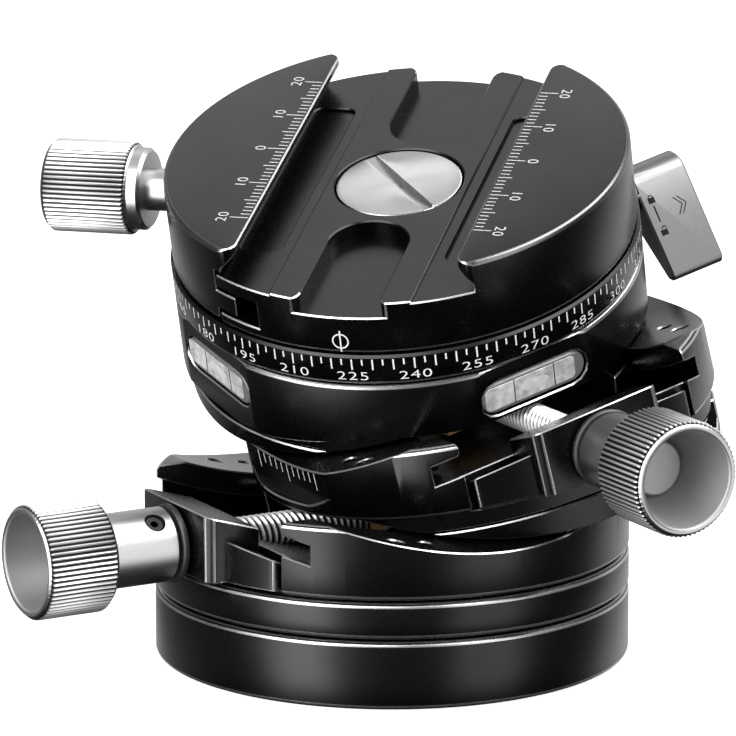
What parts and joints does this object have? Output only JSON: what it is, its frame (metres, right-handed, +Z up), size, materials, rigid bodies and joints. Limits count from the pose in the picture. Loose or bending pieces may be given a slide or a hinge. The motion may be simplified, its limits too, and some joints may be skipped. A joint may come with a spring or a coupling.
{
  "type": "panoramic tripod head",
  "caption": "Levelling panoramic tripod head with stacked worm-driven tilt stages, a turning degree ring and a dovetail quick-release clamp.",
  "frame": {"origin": "centre of the tripod socket at the underside of the base", "axes": "+Z up along the socket, +X away from the lower tilt's knob, +Y away from the upper tilt's knob"},
  "size_m": [0.1208, 0.1121, 0.082],
  "materials": {
    "black_anodised": "satin black anodised",
    "silver_anodised": "satin clear anodised",
    "steel": "bright turned",
    "brass": "machined",
    "black_nylon": "matte",
    "vial": "clear",
    "brushed_lever": "satin clear anodised"
  },
  "bodies": {
    "base": {"base_plate": "black_anodised", "middle_ring": "black_anodised", "lower_frame": "black_anodised", "lower_worm_carrier": "black_anodised", "tripod_socket_bush": "steel", "base_screw_1": "steel", "base_screw_2": "steel", "base_screw_3": "steel", "base_screw_4": "steel", "lower_carrier_screw_left": "steel", "lower_carrier_screw_right": "steel", "lower_rail_screw_1": "steel", "lower_rail_screw_2": "steel", "lower_rail_screw_3": "steel", "lower_rail_screw_4": "steel", "lower_thrust_ring": "black_nylon", "lower_end_bearing": "brass"},
    "lower_drive": {"lower_worm": "steel", "lower_set_screw": "steel", "lower_knob": "silver_anodised"},
    "middle": {"mid_frame": "black_anodised", "lower_cradle_left": "black_anodised", "lower_cradle_right": "black_anodised", "upper_worm_carrier": "black_anodised", "lower_rack": "brass", "upper_end_bearing": "brass", "upper_carrier_screw_left": "steel", "upper_carrier_screw_right": "steel", "upper_rail_screw_1": "steel", "upper_rail_screw_2": "steel", "upper_rail_screw_3": "steel", "upper_rail_screw_4": "steel", "upper_thrust_ring": "black_nylon"},
    "upper_drive": {"upper_worm": "steel", "upper_set_screw": "steel", "upper_knob": "silver_anodised"},
    "pan_base": {"pan_housing": "black_anodised", "degree_ring": "black_anodised", "upper_cradle_left": "black_anodised", "upper_cradle_right": "black_anodised", "upper_rack": "brass", "pan_bearing": "brass", "pan_brake_shoe": "brass", "front_vial": "vial", "side_vial": "vial"},
    "pan_lock": {"pan_lock_lever": "brushed_lever", "pan_lock_spindle": "steel"},
    "clamp": {"clamp_body": "black_anodised", "pan_shaft": "steel", "centre_screw": "steel", "jaw_guide_pin_front": "steel", "jaw_guide_pin_back": "steel", "jaw_spring_front": "steel", "jaw_spring_back": "steel"},
    "jaw": {"moving_jaw": "black_anodised"},
    "jaw_drive": {"clamp_knob": "silver_anodised", "clamp_screw": "steel"}
  },
  "joints": [
    {"name": "lower_tilt", "type": "hinge", "parent": "base", "child": "middle", "pos_m": [0, 0, 0.093], "axis": [0, 1, 0], "range_deg": [-0.6, 29.4]},
    {"name": "lower_knob_turn", "type": "hinge", "parent": "base", "child": "lower_drive", "pos_m": [-0.045, 0, 0.0204], "axis": [1, 0, 0], "range_deg": [-90, 4340]},
    {"name": "upper_tilt", "type": "hinge", "parent": "middle", "child": "pan_base", "pos_m": [-0.00347, 0, 0.10651], "axis": [0.9686, 0, 0.2487], "range_deg": [-28.2, 1.8]},
    {"name": "upper_knob_turn", "type": "hinge", "parent": "middle", "child": "upper_drive", "pos_m": [0.01459, -0.045, 0.03619], "axis": [0, 1, 0], "range_deg": [-267, 4161]},
    {"name": "pan", "type": "hinge", "parent": "pan_base", "child": "clamp", "pos_m": [0.00911, 0.01186, 0.05752], "axis": [-0.2421, -0.2284, 0.943], "continuous": true},
    {"name": "jaw_slide", "type": "slide", "parent": "clamp", "child": "jaw", "axis": [-0.6986, 0.7155, -0.0061], "range_m": [0, 0.005]},
    {"name": "clamp_knob_turn", "type": "hinge", "parent": "jaw", "child": "jaw_drive", "pos_m": [-0.02412, 0.04237, 0.06423], "axis": [0.6986, -0.7155, 0.0061], "range_deg": [-10, 1210]},
    {"name": "pan_lock", "type": "hinge", "parent": "pan_base", "child": "pan_lock", "pos_m": [0.01051, 0.01319, 0.05205], "axis": [0.9686, 0, 0.2487], "range_deg": [-45, 20]}
  ],
  "couplings": [
    {"joint": "lower_knob_turn", "follows": "lower_tilt", "ratio": 147.39},
    {"joint": "upper_knob_turn", "follows": "upper_tilt", "ratio": -147.39},
    {"joint": "clamp_knob_turn", "follows": "jaw_slide", "rad_per_m": 4188.8}
  ]
}
